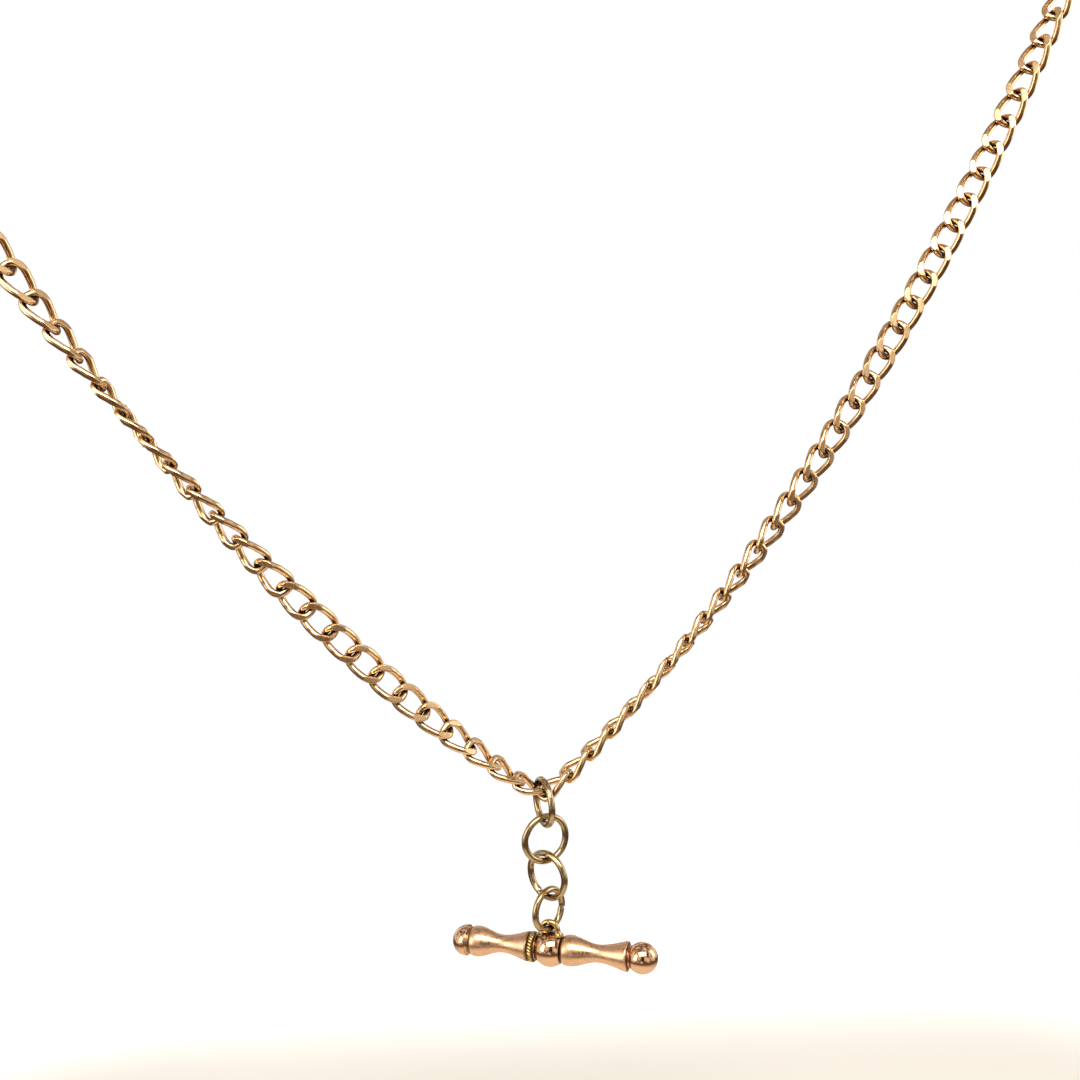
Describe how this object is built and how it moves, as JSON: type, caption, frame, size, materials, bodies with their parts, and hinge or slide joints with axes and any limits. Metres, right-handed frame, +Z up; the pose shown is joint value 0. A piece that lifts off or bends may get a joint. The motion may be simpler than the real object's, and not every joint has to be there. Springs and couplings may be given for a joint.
{
  "type": "pocket watch chain",
  "caption": "Double Albert pocket watch chain: filed curb links hang in a V between swivel clips, with a drop of jump rings that carries a baluster T-bar.",
  "frame": {"origin": "midway between the two places where the clips are hung up", "axes": "+X from the left clip to the right clip as seen from the front, +Y to the back, +Z up; the chain hangs in the XZ plane"},
  "size_m": [0.1896, 0.018, 0.1543],
  "materials": {
    "chain_gold": "polished rose gold, filed flats with fine file lines",
    "ring_gold": "polished yellow gold wire, lightly worn",
    "collar_gold": "polished yellow gold with dark crevices",
    "bar_gold": "burnished rose gold",
    "clip_gold": "polished rose gold",
    "steel": "blued spring steel"
  },
  "bodies": {
    "clips": {"left_hook_body": "clip_gold", "left_gate_pin": "steel", "left_gate_spring": "steel", "right_hook_body": "clip_gold", "right_gate_pin": "steel", "right_gate_spring": "steel"},
    "links_01": {"left_link_01": "chain_gold", "right_link_01": "chain_gold"},
    "links_02": {"left_link_02": "chain_gold", "right_link_02": "chain_gold"},
    "links_03": {"left_link_03": "chain_gold", "right_link_03": "chain_gold"},
    "links_04": {"left_link_04": "chain_gold", "right_link_04": "chain_gold"},
    "links_05": {"left_link_05": "chain_gold", "right_link_05": "chain_gold"},
    "links_06": {"left_link_06": "chain_gold", "right_link_06": "chain_gold"},
    "links_07": {"left_link_07": "chain_gold", "right_link_07": "chain_gold"},
    "links_08": {"left_link_08": "chain_gold", "right_link_08": "chain_gold"},
    "links_09": {"left_link_09": "chain_gold", "right_link_09": "chain_gold"},
    "links_10": {"left_link_10": "chain_gold", "right_link_10": "chain_gold"},
    "links_11_to_12": {"left_links_11_to_12": "chain_gold", "right_links_11_to_12": "chain_gold"},
    "links_13_to_14": {"left_links_13_to_14": "chain_gold", "right_links_13_to_14": "chain_gold"},
    "links_15_to_16": {"left_links_15_to_16": "chain_gold", "right_links_15_to_16": "chain_gold"},
    "links_17_to_18": {"left_links_17_to_18": "chain_gold", "right_links_17_to_18": "chain_gold"},
    "links_19_to_21": {"left_links_19_to_21": "chain_gold", "right_links_19_to_21": "chain_gold"},
    "links_22_to_24": {"left_links_22_to_24": "chain_gold", "right_links_22_to_24": "chain_gold"},
    "links_25_to_27": {"left_links_25_to_27": "chain_gold", "right_links_25_to_27": "chain_gold"},
    "links_28_to_30": {"left_links_28_to_30": "chain_gold", "right_links_28_to_30": "chain_gold"},
    "links_31_to_33": {"left_links_31_to_33": "chain_gold", "right_links_31_to_33": "chain_gold"},
    "ring_1": {"drop_ring_1": "ring_gold"},
    "ring_2": {"drop_ring_2": "ring_gold"},
    "ring_3": {"drop_ring_3": "ring_gold"},
    "ring_4": {"drop_ring_4": "ring_gold"},
    "t_bar": {"bar_eye": "collar_gold", "bar_centre_ball": "bar_gold", "bar_left_arm": "bar_gold", "bar_right_arm": "bar_gold", "bar_left_ball": "bar_gold", "bar_right_ball": "bar_gold", "bar_rope_collar": "collar_gold"},
    "left_gate": {"left_gate": "clip_gold"},
    "left_swivel": {"left_swivel_eye": "clip_gold"},
    "right_gate": {"right_gate": "clip_gold"},
    "right_swivel": {"right_swivel_eye": "clip_gold"}
  },
  "joints": [
    {"name": "links_31_to_33_swing", "type": "hinge", "parent": "clips", "child": "links_31_to_33", "pos_m": [0.08282, 0, -0.0173], "axis": [1, 0, 0], "range_deg": [-6, 6]},
    {"name": "links_28_to_30_swing", "type": "hinge", "parent": "links_31_to_33", "child": "links_28_to_30", "pos_m": [0.07703, 0, -0.02849], "axis": [1, 0, 0], "range_deg": [-6, 6]},
    {"name": "links_25_to_27_swing", "type": "hinge", "parent": "links_28_to_30", "child": "links_25_to_27", "pos_m": [0.07097, 0, -0.03954], "axis": [1, 0, 0], "range_deg": [-6, 6]},
    {"name": "links_22_to_24_swing", "type": "hinge", "parent": "links_25_to_27", "child": "links_22_to_24", "pos_m": [0.06462, 0, -0.05042], "axis": [1, 0, 0], "range_deg": [-6, 6]},
    {"name": "links_19_to_21_swing", "type": "hinge", "parent": "links_22_to_24", "child": "links_19_to_21", "pos_m": [0.05796, 0, -0.06112], "axis": [1, 0, 0], "range_deg": [-6, 6]},
    {"name": "links_17_to_18_swing", "type": "hinge", "parent": "links_19_to_21", "child": "links_17_to_18", "pos_m": [0.05096, 0, -0.07159], "axis": [1, 0, 0], "range_deg": [-6, 6]},
    {"name": "links_15_to_16_swing", "type": "hinge", "parent": "links_17_to_18", "child": "links_15_to_16", "pos_m": [0.04609, 0, -0.07844], "axis": [1, 0, 0], "range_deg": [-6, 6]},
    {"name": "links_13_to_14_swing", "type": "hinge", "parent": "links_15_to_16", "child": "links_13_to_14", "pos_m": [0.04106, 0, -0.08516], "axis": [1, 0, 0], "range_deg": [-6, 6]},
    {"name": "links_11_to_12_swing", "type": "hinge", "parent": "links_13_to_14", "child": "links_11_to_12", "pos_m": [0.03584, 0, -0.09174], "axis": [1, 0, 0], "range_deg": [-6, 6]},
    {"name": "links_10_swing", "type": "hinge", "parent": "links_11_to_12", "child": "links_10", "pos_m": [0.03043, 0, -0.09817], "axis": [1, 0, 0], "range_deg": [-6, 6]},
    {"name": "links_09_swing", "type": "hinge", "parent": "links_10", "child": "links_09", "pos_m": [0.02765, 0, -0.10132], "axis": [1, 0, 0], "range_deg": [-6, 6]},
    {"name": "links_08_swing", "type": "hinge", "parent": "links_09", "child": "links_08", "pos_m": [0.02483, 0, -0.10443], "axis": [1, 0, 0], "range_deg": [-6, 6]},
    {"name": "links_07_swing", "type": "hinge", "parent": "links_08", "child": "links_07", "pos_m": [0.02195, 0, -0.10748], "axis": [1, 0, 0], "range_deg": [-6, 6]},
    {"name": "links_06_swing", "type": "hinge", "parent": "links_07", "child": "links_06", "pos_m": [0.01902, 0, -0.11049], "axis": [1, 0, 0], "range_deg": [-6, 6]},
    {"name": "links_05_swing", "type": "hinge", "parent": "links_06", "child": "links_05", "pos_m": [0.01603, 0, -0.11345], "axis": [1, 0, 0], "range_deg": [-6, 6]},
    {"name": "links_04_swing", "type": "hinge", "parent": "links_05", "child": "links_04", "pos_m": [0.01299, 0, -0.11634], "axis": [1, 0, 0], "range_deg": [-5, 6]},
    {"name": "links_03_swing", "type": "hinge", "parent": "links_04", "child": "links_03", "pos_m": [0.00989, 0, -0.11918], "axis": [1, 0, 0], "range_deg": [-5, 6]},
    {"name": "links_02_swing", "type": "hinge", "parent": "links_03", "child": "links_02", "pos_m": [0.00674, 0, -0.12196], "axis": [1, 0, 0], "range_deg": [-6, 6]},
    {"name": "links_01_swing", "type": "hinge", "parent": "links_02", "child": "links_01", "pos_m": [0.00353, 0, -0.12467], "axis": [1, 0, 0], "range_deg": [-6, 6]},
    {"name": "ring_1_swing", "type": "hinge", "parent": "links_01", "child": "ring_1", "pos_m": [0, 0, -0.1255], "axis": [0.1045, -0.9945, 0], "range_deg": [-18, 20]},
    {"name": "ring_2_swing", "type": "hinge", "parent": "ring_1", "child": "ring_2", "pos_m": [0, 0, -0.13127], "axis": [0.1045, -0.9945, 0], "range_deg": [-50, 50]},
    {"name": "ring_3_swing", "type": "hinge", "parent": "ring_2", "child": "ring_3", "pos_m": [0, 0, -0.13665], "axis": [0.9744, 0.225, 0], "range_deg": [-50, 50]},
    {"name": "ring_4_swing", "type": "hinge", "parent": "ring_3", "child": "ring_4", "pos_m": [0, 0, -0.14203], "axis": [0.5446, -0.8387, 0], "range_deg": [-50, 50]},
    {"name": "t_bar_swing", "type": "hinge", "parent": "ring_4", "child": "t_bar", "pos_m": [0, 0, -0.14666], "axis": [0.829, 0.5592, 0], "range_deg": [-50, 50]},
    {"name": "left_gate_hinge", "type": "hinge", "parent": "clips", "child": "left_gate", "pos_m": [-0.08949, 0, -0.01005], "axis": [0, 1, 0], "range_deg": [0, 28], "stiffness_Nm_per_rad": 0.002, "springref_deg": -20.05},
    {"name": "left_swivel_turn", "type": "hinge", "parent": "clips", "child": "left_swivel", "pos_m": [-0.08508, 0, -0.01284], "axis": [-0.4528, 0, 0.8916], "range_deg": [-30, 30]},
    {"name": "right_gate_hinge", "type": "hinge", "parent": "clips", "child": "right_gate", "pos_m": [0.08949, 0, -0.01005], "axis": [0, -1, 0], "range_deg": [0, 28], "stiffness_Nm_per_rad": 0.002, "springref_deg": -20.05},
    {"name": "right_swivel_turn", "type": "hinge", "parent": "clips", "child": "right_swivel", "pos_m": [0.08508, 0, -0.01284], "axis": [0.4528, 0, 0.8916], "range_deg": [-30, 30]}
  ]
}
